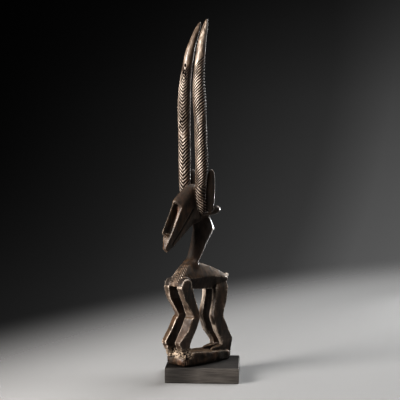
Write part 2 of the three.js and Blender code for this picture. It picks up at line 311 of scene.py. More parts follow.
head = {
    # top (forward, up), edge, side and jaw (forward, aside, up), throat (forward, up), how round it is
    # and how wide the flat strip inside the edge
    "sections": [
        [(-13, 354), (-15, 13, 349), (-17, 17, 328), (-16, 11, 308), (-14, 304), 8, 0],
        [(3, 370), (1, 16, 362), (-4, 19.5, 334), (-8, 13, 302), (-8, 298), 11, 0],
        [(17, 375), (15, 17, 367), (10, 20.5, 336), (4, 14, 297), (4, 293), 13, 0],
        [(33, 370.5), (30, 17.5, 360.5), (22, 20, 328), (14, 13, 293.5), (14, 290), 14, 0],
        [(45, 362), (41, 17, 350), (33, 19, 319), (24, 12, 291), (24, 288), 12, 0],
        [(60, 350.5), (52.5, 16.5, 338), (45, 17.5, 305), (34, 11, 283), (34, 280), 8, 0],
        [(70, 341), (59.8, 15.6, 327.4), (52, 16.2, 293.5), (42, 10.2, 276), (42, 274), 3, 0],
        [(71, 339), (60.5, 15.5, 326), (53, 16, 292), (43, 10, 275), (43, 273), 2, 5.6],
        [(103, 276), (88, 12, 268), (76, 10, 260), (71, 6, 250), (71, 248), 1.5, 4.0],
        [(95, 269), (89.5, 11.2, 265.5), (78, 9.5, 257), (73, 5.5, 247.5), (73, 246), 1.5, 4.0],
        [(97, 244), (96.5, 4, 243), (93, 4, 240), (90, 3.5, 236), (90, 235.5), 1.5, 1.5],
    ],
    "brow": 7,                # section at the top of the hollow cheeks, and the next is at the mouth
    "cheekDepth": 19,
    "cheekAside": 14,         # about how far out their edge is
    "noseThickness": 4.4,
    "wallSlant": 8.0,         # how far the hollow's outer wall leans in at the brow
    "stripLean": 0.13,        # how much the flat strip turns forward on its way in
}


def stripPoint(top, edge, width):
    # inner side of the flat strip that lies inside the edge, or a point on the round cap
    if width:
        return (edge[0] + head["stripLean"] * width, max(edge[1] - width, 0.8), edge[2])
    return (mixed(top[0], edge[0], 0.25), 0.42 * edge[1], mixed(top[1], edge[2], 0.16))


def headRings():
    rings = []
    for top, edge, side, jaw, throat, soft, strip in head["sections"]:
        left = [spot(*point) for point in (stripPoint(top, edge, strip), edge, side, jaw)]
        right = [spot(point.x, -point.y, point.z) for point in reversed(left)]
        corners = [spot(top[0], 0, top[1])] + left + [spot(throat[0], 0, throat[1])] + right
        radii = [soft, soft, soft, soft * 0.7, 2, 2, 2, soft * 0.7, soft, soft]
        rings.append(roundedRing(corners, radii, 5))
    return rings


# the hollow cheeks lie between these two sections
brow, mouth = head["sections"][head["brow"]:head["brow"] + 2]


def cheekRings(side):
    half = head["noseThickness"] / 2
    rings = []
    for share in (0.03, 0.12, 0.25, 0.4, 0.6, 0.97):
        noseForward, noseUp = [mixed(a, b, share) for a, b in zip(brow[0], mouth[0])]
        edge = [mixed(a, b, share) for a, b in zip(brow[1], mouth[1])]
        inner = stripPoint(brow[0], edge, mixed(brow[6], mouth[6], share))
        drop = (noseUp - edge[2]) / edge[1]
        depth = head["cheekDepth"] * (1 - 0.3 * share)
        slant = head["wallSlant"] * (1 - share) ** 2
        wallDepth = depth * mixed(0.1, 0.5, rise(0, 0.4, share))
        corners = [(noseForward + 14, half - 0.5), (noseForward - depth, half + 0.4),
                   (inner[0] - wallDepth, max(inner[1] - 0.4 - slant, half + 1.2)),
                   (inner[0] + 0.4, inner[1]), (inner[0] + 14, inner[1] + 0.4)]
        rings.append([spot(forward, side * aside, noseUp - drop * aside) for forward, aside in corners])
    return rings


ears = {
    "foot": 313,
    "top": 404,
    "forward": -12.5,
    "aside": 23.5,
    "lean": 4,                # further out at the top
    "half": 12,
    "thickness": (0.8, 5),    # half of it at the rim, and what the middle adds
    "dish": 3.4,              # hollow of the outer face
    "squareness": 2.6,
    "sides": 32,
    "levels": (0.004, 0.02, 0.05, 0.1, 0.17, 0.25, 0.34, 0.43, 0.52, 0.61, 0.7, 0.78, 0.85, 0.91, 0.955,
               0.985, 0.997),
}


def earRings(side):
    middle = (ears["foot"] + ears["top"]) / 2
    rings = []
    for share in ears["levels"]:
        up = mixed(ears["foot"], ears["top"], share)
        reach = abs(up - middle) / (ears["top"] - middle)
        half = ears["half"] * (1 - reach ** ears["squareness"]) ** (1 / ears["squareness"])
        thick = ears["thickness"][1] * sqrt(1 - reach ** 2) + ears["thickness"][0]
        ring = []
        for turn in turnsOf(ears["sides"]):
            dish = ears["dish"] * sin(turn) ** 2 * (1 - reach) if sin(turn) > 0 else 0
            aside = ears["aside"] + ears["lean"] * share + thick * sin(turn) - dish
            ring.append(spot(ears["forward"] + half * cos(turn), side * aside, up))
        rings.append(ring)
    return rings


def barRings(stations, sides=24):
    # round bar through rows of forward, aside, up and radius
    rows = spreadRows(stations, 4)
    rings = []
    for i, (forward, aside, up, radius) in enumerate(rows):
        ahead, behind = rows[min(i + 1, len(rows) - 1)], rows[max(i - 1, 0)]
        along = (Vector(ahead[:3]) - Vector(behind[:3])).normalized()
        across = Vector((0, 1, 0)).cross(along).normalized()
        third = along.cross(across)
        middle = spot(forward, aside, up)
        rings.append([middle + (across * cos(turn) + third * sin(turn)) * radius
                      for turn in turnsOf(sides)])
    return rings


# forward, aside, up, radius
lobe = [(2, 19, 313, 4), (-6, 20.5, 312.5, 5.5), (-18, 22.5, 313.5, 5.5), (-27, 23.5, 317, 7.5),
        (-33, 24, 321, 7.5), (-38, 24, 324, 4)]
tail = [(-60, 0, 175, 8), (-76, 0, 173, 7.5), (-84, 0, 174, 6), (-90, 0, 178, 3.5)]

# Horns

horns = {
    # up, forward, aside, radius
    "line": [(307, 3, 18, 3), (314, 5, 18.5, 7), (324, 8, 19.5, 9.6), (337, 11.5, 21, 11.2),
             (354, 14.5, 22.5, 11.6), (376, 14.5, 24, 12.2), (417, 13.5, 25, 13.2),
             (462, 14.7, 24.3, 13.1), (516, 16.6, 23.5, 13.5), (549, 17.2, 22, 13.8),
             (589, 16.5, 19.8, 12.2), (633, 10.1, 17.5, 10.4), (660, 4.5, 15.7, 9),
             (687, -5.3, 12.6, 7.1), (704, -12.4, 11, 5.2), (712.5, -15.8, 10.3, 3.2),
             (715, -16.8, 10.2, 1.2)],
    "tops": {1: 715, -1: 706},  # 1 is the carving's left horn and -1 its right one
    "foot": 307,
    "footFade": (307, 316),   # strokes begin here
    "carved": 616,            # and end here
    "endFade": 10,
    "tipStep": (0.5, 2.2),    # mm between rings on the bare tip, least and most
    "pitch": {1: 6.1, -1: 8.6},  # mm from stroke to stroke at the foot
    "growth": {1: 0.0006, -1: -0.0075},  # and how much it grows with each mm of height
    "climb": (-17, 27),       # mm that a stroke rises from front to back, on the root and above it
    "rootTop": {1: 369, -1: 352},
    "ringClimb": (345, 400),  # the rings of mesh begin to climb here, and do so fully here
    "rubbed": {1: 506, -1: 476},  # strokes nearly rubbed away here
    "rubbedReach": 20,
    "ridgeTurn": 28,          # degrees that the points of the strokes are turned inwards from the front
    "fixedBelow": 374,        # the shorter horn is squeezed only above this height
    # holes: horn side, up, degrees round from the front, half width, half height, depth
    "pits": [(-1, 502, -12, 1.9, 2.4, 3.2), (-1, 492, 1, 1.6, 2.0, 2.6), (-1, 471, -5, 1.5, 2.0, 2.6),
             (-1, 619, -20, 1.8, 4.0, 4.5), (-1, 605, -12, 2.1, 4.6, 5.0), (-1, 600, -42, 2.0, 2.8, 4.0),
             (-1, 592, -50, 1.8, 2.4, 3.6)],
    "depth": 2.9,
    "sharpness": 1.9,         # higher for narrower grooves
    "wobble": 0.3,            # of a stroke
    "cutRows": 7,             # rings of mesh to one stroke
    "sides": 44,
}

hornLine = spreadRows(horns["line"], 6)


def hornLevels(side):
    # heights of the rings along the ridge
    levels = []
    up, top = horns["foot"], horns["line"][-1][0]
    while up < horns["carved"]:
        levels.append(up)
        up += (horns["pitch"][side] + horns["growth"][side] * (up - horns["foot"])) / horns["cutRows"]
    least, most = horns["tipStep"]
    while up < top - 0.6:
        levels.append(up)
        up += max(least, min(most, (top - up) * 0.3))
    levels.append(top)
    return levels


def strokeCount(side, level, turned):
    # number of strokes up to a point of the horn
    climb = horns["climb"][1 if level > horns["rootTop"][side] else 0]
    ridge = level - climb * sin(turned / 2) - horns["foot"]
    growth = horns["growth"][side]
    return log(max(1 + growth * ridge / horns["pitch"][side], 0.2)) / growth


def strokeDepth(side, level, angle, facing):
    # how deep the strokes are cut at a point of the horn, in mm
    turn = strokeCount(side, level, min(angle, 2 * pi - angle))
    seed = Vector((side * 40 + cos(angle) * 1.2, sin(angle) * 1.2, level * 0.05))
    phase = turn + noise.noise(seed) * horns["wobble"]
    groove = (0.5 + 0.5 * cos(2 * pi * phase)) ** horns["sharpness"]
    strength = 0.85 + 0.6 * noise.noise(Vector((side * 9.0, turn * 0.41, cos(facing) * 1.4)))
    rubbed = bump(level - horns["rubbed"][side], horns["rubbedReach"])
    return horns["depth"] * (groove * strength * (1 - 0.8 * rubbed) + 0.1 * rubbed)


def hornRings(side):
    top = horns["line"][-1][0]
    squash = horns["tops"][side] / top
    fixed = horns["fixedBelow"]
    carved = horns["carved"]
    rings = []
    for up in hornLevels(side):
        climb = horns["climb"][1] * band(up, *horns["ringClimb"], carved, top)
        fade = band(up, *horns["footFade"], carved - horns["endFade"], carved)
        ring = []
        for angle in turnsOf(horns["sides"]):
            facing = angle - radians(horns["ridgeTurn"])
            level = up + climb * sin(min(angle, 2 * pi - angle) / 2)
            _, forward, aside, radius = rowAt(hornLine, level)
            reach = radius - strokeDepth(side, level, angle, facing) * fade
            forward += reach * cos(facing)
            aside += reach * sin(facing)
            if level > fixed:
                level = fixed + (level - fixed) * squash
            ring.append(spot(forward, side * aside, level))
        rings.append(ring)
    return rings


hornTable = [rowAt(hornLine, level) for level in range(horns["foot"], horns["line"][-1][0] + 1)]


def hornPlace(side, up):
    # the horn's middle (forward, aside) and radius at a height
    fixed = horns["fixedBelow"]
    squash = horns["tops"][side] / horns["line"][-1][0]
    level = up if up < fixed else fixed + (up - fixed) / squash
    return hornTable[min(max(int(level - horns["foot"]), 0), len(hornTable) - 1)][1:]


def pitForms():
    form = bmesh.new()
    for side, up, turn, wide, high, depth in horns["pits"]:
        forward, aside, radius = hornPlace(side, up)
        turn = radians(turn)
        ball = bmesh.ops.create_icosphere(form, subdivisions=3, radius=1)["verts"]
        bmesh.ops.scale(form, vec=(depth, wide, high), verts=ball)
        bmesh.ops.rotate(form, matrix=Matrix.Rotation(side * turn, 3, "Z"), verts=ball)
        place = spot(forward + radius * cos(turn), side * (aside + radius * sin(turn)), up)
        bmesh.ops.translate(form, vec=place, verts=ball)
    return form


# One skin

print("forms: base, legs, body, neck, head, ears")
skin = lofted(headRings(), "chiwara_carving")
for side in bothSides:
    combine(skin, lofted(cheekRings(side), "cheek"), "DIFFERENCE")

rest = bmesh.new()
rest.from_mesh(skin.data)
for rings in (baseRings(), bodyRings(), neckRings(), barRings(tail)):
    loft(rest, rings)
lump = bmesh.ops.create_uvsphere(rest, u_segments=24, v_segments=16, radius=base["lumpRadius"])["verts"]
bmesh.ops.scale(rest, vec=(1, 1, base["lumpHeight"] / base["lumpRadius"]), verts=lump)
bmesh.ops.translate(rest, vec=base["lump"], verts=lump)
for side in bothSides:
    loft(rest, legRings(legs["front"], side, legs["farShift"] if side < 0 else (0, 0)))
    loft(rest, legRings(legs["hind"], side))
    for name in ("frontHoof", "hindHoof"):
        loft(rest, hoofRings(legs[name], side))
    loft(rest, earRings(side))
    loft(rest, barRings([(forward, side * aside, up, radius) for forward, aside, up, radius in lobe]))
bmesh.ops.recalc_face_normals(rest, faces=rest.faces)
rest.to_mesh(skin.data)
rest.free()

remesh = skin.modifiers.new("skin", "REMESH")
remesh.mode = "VOXEL"
remesh.voxel_size = figure["voxel"]
bake(skin)
thin = skin.modifiers.new("thin", "DECIMATE")
thin.ratio = figure["keep"]
bake(skin)
print("skin:", len(skin.data.polygons), "faces")

soft = bmesh.new()
soft.from_mesh(skin.data)
capFront, capHalf, capFrom = figure["cap"]
shoulderFront, shoulderFrom, shoulderTo = figure["shoulders"]
cap = [vert for vert in soft.verts
       if vert.co.z > capFrom and vert.co.x < capFront and abs(vert.co.y) < capHalf
       or shoulderFrom < vert.co.z < shoulderTo and vert.co.x < shoulderFront]
for passes, verts in ((figure["softenPasses"], soft.verts), (figure["capPasses"], cap)):
    for _ in range(passes):
        bmesh.ops.smooth_vert(soft, verts=verts, factor=0.5, use_axis_x=True, use_axis_y=True,
                              use_axis_z=True)
soft.to_mesh(skin.data)
soft.free()

for side in bothSides:
    combine(skin, lofted(hornRings(side), "horn"), "UNION")
combine(skin, asObject(pitForms(), "pits"), "DIFFERENCE")
print("with horns:", len(skin.data.polygons), "faces")

# Worked surface, wear, and painted light and shade

# attributes of the skin, which its material reads
markNames = ("wearAndHighlight", "grimeAndShade", "crust", "bare", "dustAndTopLight")

surface = {
    # mm that the tools' marks stand in or out
    "broadWave": 0.45,
    "adzeMarks": 0.35,
    "fineMarks": 0.12,
    "shine": 8.0,             # how fast an edge that stands proud is rubbed
    "hollowGrimeAndShadeGain": 6.0,         # and how fast a hollow darkens with grime and painted shade
    "headDull": (225, 240),   # mm up, edges are rubbed less above
    "footDull": (32, 40),     # and below
    "hornReach": 3.2,         # mm that the horn's skin lies in or out of its smooth round
    "pitReach": 6.0,          # and further in, where nothing else is near
    "pitsFrom": 420,
    "hornsFrom": 312,
}


def onHorn(place):
    # depth under the horn's smooth round and the angle from its front, or nothing off the horn
    side = 1 if place.y > 0 else -1
    if place.z < surface["hornsFrom"]:
        return None
    forward, aside, radius = hornPlace(side, place.z)
    reach = Vector((place.x - forward, side * place.y - aside))
    deepest = surface["pitReach"] if place.z > surface["pitsFrom"] else surface["hornReach"]
    if not -surface["hornReach"] < radius - reach.length < deepest:
        return None
    return side, radius - reach.length, degrees(atan2(reach.y, reach.x))


def inCheek(place):
    # where a point lies in a hollow cheek: mm behind the strip, how far down and out, or nothing
    x, y, z = place
    length = brow[0][1] - mouth[0][1]
    share = min(max((brow[0][1] - z) / length, 0), 1)
    drop = mixed(brow[0][1] - brow[1][2], mouth[0][1] - mouth[1][2], share)
    share = (brow[0][1] - drop * abs(y) / head["cheekAside"] - z) / length
    strip = mixed(brow[6], mouth[6], share)
    inner = mixed(brow[1][1], mouth[1][1], share) - strip
    if not -0.03 < share < 1.03 or not 1.9 < abs(y) < inner + 0.4:
        return None
    front = mixed(brow[1][0], mouth[1][0], share) + head["stripLean"] * strip
    return front - x, share, abs(y) / inner


class Marks:
    # what the tools and the years did to one point, and the light and shade painted on it
    def __init__(self, out, dustAndTopLight):
        self.out = out        # mm that it moves out
        self.dustAndTopLight = dustAndTopLight      # the rest are shares from 0 to 1, which the finish reads
        self.grimeAndShade = self.crust = self.bare = self.wornAndHighlight = 0.0

    def darken(self, share):
        self.grimeAndShade = max(self.grimeAndShade, share)

    def rubAndHighlight(self, share):
        self.wornAndHighlight = max(self.wornAndHighlight, share)

    def cut(self, depth, share, dark=1.0):
        # a groove of this depth, darker where it is deeper: grime and painted shade in the groove
        self.out -= depth * share
        self.darken(dark * share)


hornRub = {
    "crest": 0.7,             # how rubbed the tops of the strokes are
    "grimeAndShadeFrom": 0.5,         # mm under the smooth round where grime and painted shade start, and over how many they fill
    "grimeAndShadeOver": 0.9,
    "round": (45, 88),        # degrees from the front, where the rubbing fades, partly painted shade on the sides
    "roundLoss": 0.78,
    "high": (530, 575),       # mm up, more rubbed above, partly a painted highlight
    "highGain": 1.4,
    "tip": (588, 618),        # and less again towards the tip
    "tipLoss": {1: 0.3, -1: 0.48},
    "innerEdge": (-42, 15),   # degrees, the near horn is duller along its inner edge
    "innerShare": (0.72, 1.22),
    "pitRadius": 13,          # mm, to turn degrees into mm round the horn
}


def markHorn(place, horn, marks):
    side, deep, turn = horn
    marks.out *= 0.5
    marks.dustAndTopLight = 0.0
    # grooves darker with depth: grime and painted shade
    marks.grimeAndShade = min(max((deep - hornRub["grimeAndShadeFrom"]) / hornRub["grimeAndShadeOver"], 0), 1)
    # the pits are painted black: grime and painted shade in the holes
    for pitSide, up, pitTurn, wide, high, _ in horns["pits"]:
        if side == pitSide and abs(place.z - up) < high * 1.1 and deep > 0.3:
            across = radians(turn - pitTurn) * hornRub["pitRadius"]
            if hypot(across / wide, (place.z - up) / high) < 1.15:
                marks.grimeAndShade = 1.0
                marks.out = 0.0
    # rubbed crests: wear, with painted shade round the sides and painted highlight high up
    wornAndHighlight = hornRub["crest"] * (1 - hornRub["roundLoss"] * rise(*hornRub["round"], abs(turn)))
    wornAndHighlight *= mixed(1, hornRub["highGain"], rise(*hornRub["high"], place.z))
    wornAndHighlight *= 1 - hornRub["tipLoss"][side] * rise(*hornRub["tip"], place.z)
    if side > 0:
        wornAndHighlight *= mixed(*hornRub["innerShare"], rise(*hornRub["innerEdge"], turn))
    marks.wornAndHighlight = wornAndHighlight


legRub = {
    "facing": (0.35, 0.8),    # how far forward a face looks before it is rubbed
    "front": 0.46,            # how rubbed the front legs, the hind legs and the body are
    "hind": 0.85,
    "body": 0.36,
    "legTop": (163, 178),     # mm up
    "bodyTop": (198, 214),
    "hoofTop": (32, 44),
    "frontKnee": (90, 106),   # the front legs are less rubbed below
    "frontLessDustAndTopLight": (40, 50, 96, 104),  # and with less dust and painted top light in between
    "shin": (46, 54, 90, 98),  # darker on two shins, on the far hind one as painted shadow, and the near front one rubbed bare
    "shinFacing": (0.3, 0.5),
    "shinDark": (0.32, 0.6),  # near front, far hind
    "shinBare": 0.2,
    "nearHindShadeEdge": (12, 16.5),  # painted highlight and shade on the near hind leg: rubbed brighter along its inner edge, duller outside and high up
    "nearHindShadeUp": (70, 84),
    "farHindEdge": (11, 20),
    "farHindShadow": (100, 20),        # middle and reach of painted shadow, a duller place on the far hind leg
}


def markLegs(place, normal, marks):
    x, y, z = place
    onLegs = legRub["front"] if x > 0 else legRub["hind"]
    wornAndHighlight = mixed(onLegs, legRub["body"], rise(*legRub["legTop"], z))
    wornAndHighlight *= rise(*legRub["facing"], normal.x) * (1 - rise(*legRub["bodyTop"], z))
    wornAndHighlight *= mixed(0.9, 1, rise(*legRub["hoofTop"], z))
    shin = rise(*legRub["shinFacing"], normal.x) * band(z, *legRub["shin"])
    if x > 0:
        wornAndHighlight *= mixed(0.4, 1, rise(*legRub["frontKnee"], z))
        marks.dustAndTopLight *= 1 - 0.7 * band(z, *legRub["frontLessDustAndTopLight"])
        if y > 0:
            marks.grimeAndShade = legRub["shinDark"][0] * shin
            marks.bare = legRub["shinBare"] * shin
    elif y > 0:
        # painted highlight along the inner edge, painted shade outside and high up
        outerShade = rise(*legRub["nearHindShadeEdge"], y)
        wornAndHighlight *= 1.2 * (1 - 0.85 * outerShade * rise(*legRub["nearHindShadeUp"], z))
    else:
        # painted shadow: the far hind leg is less rubbed round the hock
        middle, reach = legRub["farHindShadow"]
        wornAndHighlight *= 1 - 0.7 * bump(z - middle, reach)
        # painted shadow on the inner part of the far hind shin
        shin *= 1 - rise(*legRub["farHindEdge"], -y)
        marks.grimeAndShade = legRub["shinDark"][1] * shin
    marks.wornAndHighlight = wornAndHighlight


baseCut = {
    "top": (24, 34),          # mm up, where the rough surface of the base ends
    "lumps": 2.25,            # mm
    "grit": 0.5,
    "gritty": (38, 52),       # mm forward, up to twice the grit in front
    "seam": (16.5, 1.5, 1.2),  # old crack along the front: mm up, half width, depth
    "seamFrom": (50, 58),
    "notches": (4.2, 0.28, 1.3),  # cuts on the near corner: pitch, half width's share, depth
    "notchFrom": (46, 52),
    "notchFacing": (0.3, 0.6),
    "notchTop": (13, 16),
    "crustFrom": (36, 48),    # crumbled crust round the front hooves, mm forward
    "crustUp": (15, 19, 30, 42),
    "clumps": 3.2,            # mm
    "clumpGrit": 0.9,
    "crackDepth": 1.1,
}


def markBase(place, normal, marks):
    x, y, z = place
    low = 1 - rise(*baseCut["top"], z)
    if low > 0:
        rough = noise.noise(place * 0.085) * baseCut["lumps"]
        grit = baseCut["grit"] * (1 + rise(*baseCut["gritty"], x))
        rough += noise.noise(place * 0.33) * grit
        marks.out += rise(0.5, 5, z) * low * rough
        up, half, depth = baseCut["seam"]
        off = z - up - 1.5 * noise.noise(place * 0.12)
        marks.cut(depth, bump(off, half) * rise(*baseCut["seamFrom"], x), 0.9)
        pitch, half, depth = baseCut["notches"]
        corner = rise(*baseCut["notchFrom"], x) * (1 - rise(*baseCut["notchTop"], z))
        corner *= rise(*baseCut["notchFacing"], normal.y)
        along = (x - y * 0.6) / pitch % 1
        marks.cut(depth, bump(along - 0.5, half) * corner)
    crumbs = rise(*baseCut["crustFrom"], x) * band(z, *baseCut["crustUp"])
    if crumbs > 0:
        near, second = noise.voronoi(place * 0.125)[0][:2]
        clump = (0.4 - near) * baseCut["clumps"] + noise.noise(place * 0.3) * baseCut["clumpGrit"]
        marks.crust = crumbs
        marks.out += crumbs * clump
        marks.cut(baseCut["crackDepth"], bump(second - near, 0.15) * crumbs)


bodyCut = {
    # slanted strokes on the chest
    "hatchPitch": 3.9,        # mm
    "hatchDepth": 0.8,
    "hatchHalf": 0.36,        # half width as a share of the pitch
    "hatchFrom": (38, 46),    # mm forward
    "hatchUp": (168, 173),
    "hatchFacing": (0.35, 0.55),
    # arcs on the shoulder, and the worn rim round the top of the thigh, rubbed lighter partly as a
    # painted highlight
    "shoulder": (56, 166),    # their middle, forward and up
    "arcs": (16.0, 20.5),     # radii
    "arcHalf": 1.5,
    "arcDepth": 0.7,
    "rim": 13.5,
    "rimHalf": 2.2,
    # rubbed rump with a painted highlight, mm forward and up
    "rump": (-62, -72),
    "rumpUp": (138, 160),
    # painted shade under the flank, and painted shadow of the head on the front and sides of the neck
    "flankShade": 0.4,
    "neckShadow": 0.5,
    "neckUp": (208, 232),
}


def markBody(place, normal, marks):
    x, y, z = place
    if z < 214:
        slope = 0.66 * x - 0.75 * z
        phase = (0.64 * abs(y) - 0.767 * slope) / bodyCut["hatchPitch"]
        share = bump(phase - round(phase), bodyCut["hatchHalf"])
        share *= rise(*bodyCut["hatchFrom"], x) * rise(*bodyCut["hatchUp"], z)
        share *= rise(*bodyCut["hatchFacing"], normal.x)
        marks.cut(bodyCut["hatchDepth"], share)
    if abs(y) > 11 and 166 < z < 200 and x > 34:
        forward, up = bodyCut["shoulder"]
        distance = hypot(x - forward, z - up)
        for radius in bodyCut["arcs"]:
            marks.cut(bodyCut["arcDepth"], bump(distance - radius, bodyCut["arcHalf"]), 0.8)
        # worn rim round the thigh's top, partly painted highlight
        if abs(y) > 21:
            rim = bump(distance - bodyCut["rim"], bodyCut["rimHalf"])
            marks.rubAndHighlight(rim * rise(up, up + 4, z))
    # painted shade on the flank's downward faces
    if abs(y) > 13 and 150 < z < 182:
        marks.darken(bodyCut["flankShade"] * rise(0.1, 0.4, -normal.z))
    # painted highlight on the rump's upper back edge
    rump = rise(*bodyCut["rump"], x) * rise(*bodyCut["rumpUp"], z)
    marks.rubAndHighlight(rump * rise(-0.3, 0.3, normal.z - 0.5 * normal.x))
    # painted shadow of the head on the front and sides of the neck
    if x < 30 and z < 302:
        high = rise(*bodyCut["neckUp"], z)
        marks.darken(bodyCut["neckShadow"] * high * rise(-0.4, 0.1, normal.x))


headCut = {
    "crease": ((36, 315), (75, 259)),  # ends of the groove along the side, forward and up
    "creaseHalf": 3.2,
    "creaseDepth": 1.5,
    # red wood that shows in the hollow cheeks, mm behind the strip
    "bareDeep": (0.3, 1.2, 14, 28),
    "bareDown": (0.3, 0.8),   # share of the cheek's height
    "bareOut": (0.4, 0.7),    # and of its width
    # painted shade deep in the hollow cheeks
    "cheekShade": 0.55,
    "noseHalf": 2.6,
    "strip": 0.27,            # how rubbed the flat strip is, partly a painted highlight
    "ridge": (0.66, 0.3),     # the nose's ridge, low and high, rubbed lighter partly as a painted highlight
    "ridgeUp": (285, 318),
    "muzzle": (0.12, 0.5),    # and the muzzle, also partly a painted highlight
    "muzzleUp": (249, 262),
    "muzzleTop": (272, 280),
    # darker and rougher on the top of the head
    "capDark": 0.42,
    "capUp": (318, 332),
}


def markHead(place, normal, marks):
    x, y, z = place
    if 28 < x < 80 and abs(y) > 7 and 250 < z < 322:
        (fromX, fromZ), (toX, toZ) = headCut["crease"]
        area = (toX - fromX) * (fromZ - z) - (fromX - x) * (toZ - fromZ)
        off = area / hypot(toX - fromX, toZ - fromZ)
        marks.cut(headCut["creaseDepth"], bump(off, headCut["creaseHalf"]))
    if x > 40 and 236 < z < 345:
        cheek = inCheek(place)
        if cheek:
            deep, down, across = cheek
            bare = 0.25 + 0.75 * rise(*headCut["bareOut"], across)
            bare *= band(deep, *headCut["bareDeep"])
            marks.bare = bare * (1 - rise(*headCut["bareDown"], down))
            # painted shade, darker the deeper the point lies in the hollow
            marks.darken(headCut["cheekShade"] * rise(0.2, 1.8, deep))
            marks.grimeAndShade *= 1 - marks.bare
        # wear and painted highlight on the nose's ridge, the strip and the muzzle
        elif abs(y) < headCut["noseHalf"] or normal.x > 0.6:
            muzzle = mixed(*headCut["muzzle"], rise(*headCut["muzzleUp"], z))
            above = headCut["strip"]
            if abs(y) <= headCut["noseHalf"]:
                above = mixed(*headCut["ridge"], rise(*headCut["ridgeUp"], z))
            wornAndHighlight = mixed(muzzle, above, rise(*headCut["muzzleTop"], z))
            marks.rubAndHighlight(wornAndHighlight * rise(0.3, 0.7, normal.x))
    # darker and rougher on the top of the head
    if abs(y) < 21 and x < 66:
        marks.darken(headCut["capDark"] * rise(*headCut["capUp"], z))


def marksAt(place, normal, horn):
    out = noise.noise(place * 0.035) * surface["broadWave"]
    out += noise.noise(place * 0.5) * surface["fineMarks"]
    # upward faces get dust, a lighter colour that partly paints the light from above
    marks = Marks(out, rise(0.25, 0.8, normal.z) * (1 - 0.9 * rise(290, 330, place.z)))
    if horn:
        markHorn(place, horn, marks)
        return marks
    marks.out += (0.35 - noise.voronoi(place * 0.1)[0][0]) * surface["adzeMarks"]
    # less dust and painted top light on forward faces from the chest up
    marks.dustAndTopLight *= 1 - rise(0.2, 0.5, normal.x) * rise(192, 206, place.z)
    for mark in (markLegs, markBase, markBody, markHead):
        mark(place, normal, marks)
    return marks


def standingProud(form):
    # how far each point stands proud of its neighbours
    proud = []
    around = [[edge.other_vert(vert).index for edge in vert.link_edges] for vert in form.verts]
    for vert in form.verts:
        others = [edge.other_vert(vert).co for edge in vert.link_edges]
        middle = sum(others, Vector()) / len(others)
        length = sum((other - vert.co).length for other in others) / len(others)
        proud.append((vert.co - middle).dot(vert.normal) / max(length, 0.3))
    for _ in range(2):
        proud = [0.5 * own + 0.5 * sum(proud[i] for i in near) / len(near)
                 for own, near in zip(proud, around)]
    return proud


def workSurface(piece):
    form = bmesh.new()
    form.from_mesh(piece.data)
    form.normal_update()
    form.verts.index_update()
    found = [onHorn(vert.co) for vert in form.verts]
    allMarks = [marksAt(vert.co, vert.normal, horn) for vert, horn in zip(form.verts, found)]
    for vert, marks in zip(form.verts, allMarks):
        vert.co += vert.normal * marks.out
        vert.co.z = max(vert.co.z, 0.0)
    form.normal_update()
    proud = standingProud(form)
    layers = [form.verts.layers.float.new(name) for name in markNames]
    for vert, height, horn, marks in zip(form.verts, proud, found, allMarks):
        edge = min(max(height * surface["shine"], 0), 1)
        edge *= 1 - 0.62 * rise(*surface["headDull"], vert.co.z)
        edge *= mixed(0.4, 1, rise(*surface["footDull"], vert.co.z))
        # rubbed edges and marks: wear, and painted highlight where the marks put it
        wearAndHighlight = max(edge, marks.wornAndHighlight)
        if horn:
            wearAndHighlight = marks.wornAndHighlight * min(max((0.95 - horn[1]) * 1.4, 0), 1) * (1 - marks.grimeAndShade)
        # hollows darken: grime and painted shade
        grimeAndShade = min(1, max(marks.grimeAndShade, -height * surface["hollowGrimeAndShadeGain"]))
        for layer, share in zip(layers, (wearAndHighlight, grimeAndShade, marks.crust, marks.bare, marks.dustAndTopLight)):
            vert[layer] = share
    toPlinth = Matrix.Scale(0.001, 4) @ Matrix.Translation((*figure["shift"], figure["lift"]))
    toPlinth = toPlinth @ Matrix.Rotation(radians(figure["heading"]), 4, "Z")
    bmesh.ops.transform(form, matrix=toPlinth, verts=form.verts)
    for face in form.faces:
        face.smooth = True
    form.to_mesh(piece.data)
    form.free()


workSurface(skin)
print("surface worked")

# Materials

class Tree:
    def __init__(self, tree):
        self.tree = tree

    def new(self, kind, values=None, **settings):
        # a node with its settings, and with numbers or other nodes' outputs for its inputs
        node = self.tree.nodes.new(kind)
        for name, setting in settings.items():
            setattr(node, name, setting)
        for socket, value in (values or {}).items():
            if isinstance(value, bpy.types.NodeSocket):
                self.tree.links.new(value, node.inputs[socket])
            else:
                node.inputs[socket].default_value = value
        return node

    def ramp(self, value, stops):
        node = self.new("ShaderNodeValToRGB", {"Fac": value})
        steps = node.color_ramp.elements
        for i, (position, colour) in enumerate(stops):
            stop = steps[i] if i < 2 else steps.new(position)
            stop.position = position
            stop.color = (*colour, 1)
        return node.outputs["Color"]

    def spread(self, value, low, high, toLow, toHigh):
        values = {"Value": value, "From Min": low, "From Max": high, "To Min": toLow, "To Max": toHigh}
        return self.new("ShaderNodeMapRange", values).outputs["Result"]

    def mix(self, share, *colours):
        first, second = [(*colour, 1) if isinstance(colour, tuple) else colour for colour in colours]
        return self.new("ShaderNodeMix", {0: share, 6: first, 7: second}, data_type="RGBA").outputs[2]

    def math(self, how, first, second):
        return self.new("ShaderNodeMath", {0: first, 1: second}, operation=how).outputs["Value"]

    def measure(self, how, vector, other=(0, 0, 0)):
        return self.new("ShaderNodeVectorMath", {0: vector, 1: other}, operation=how).outputs["Value"]

    def heightOf(self, vector):
        return self.new("ShaderNodeSeparateXYZ", {"Vector": vector}).outputs["Z"]


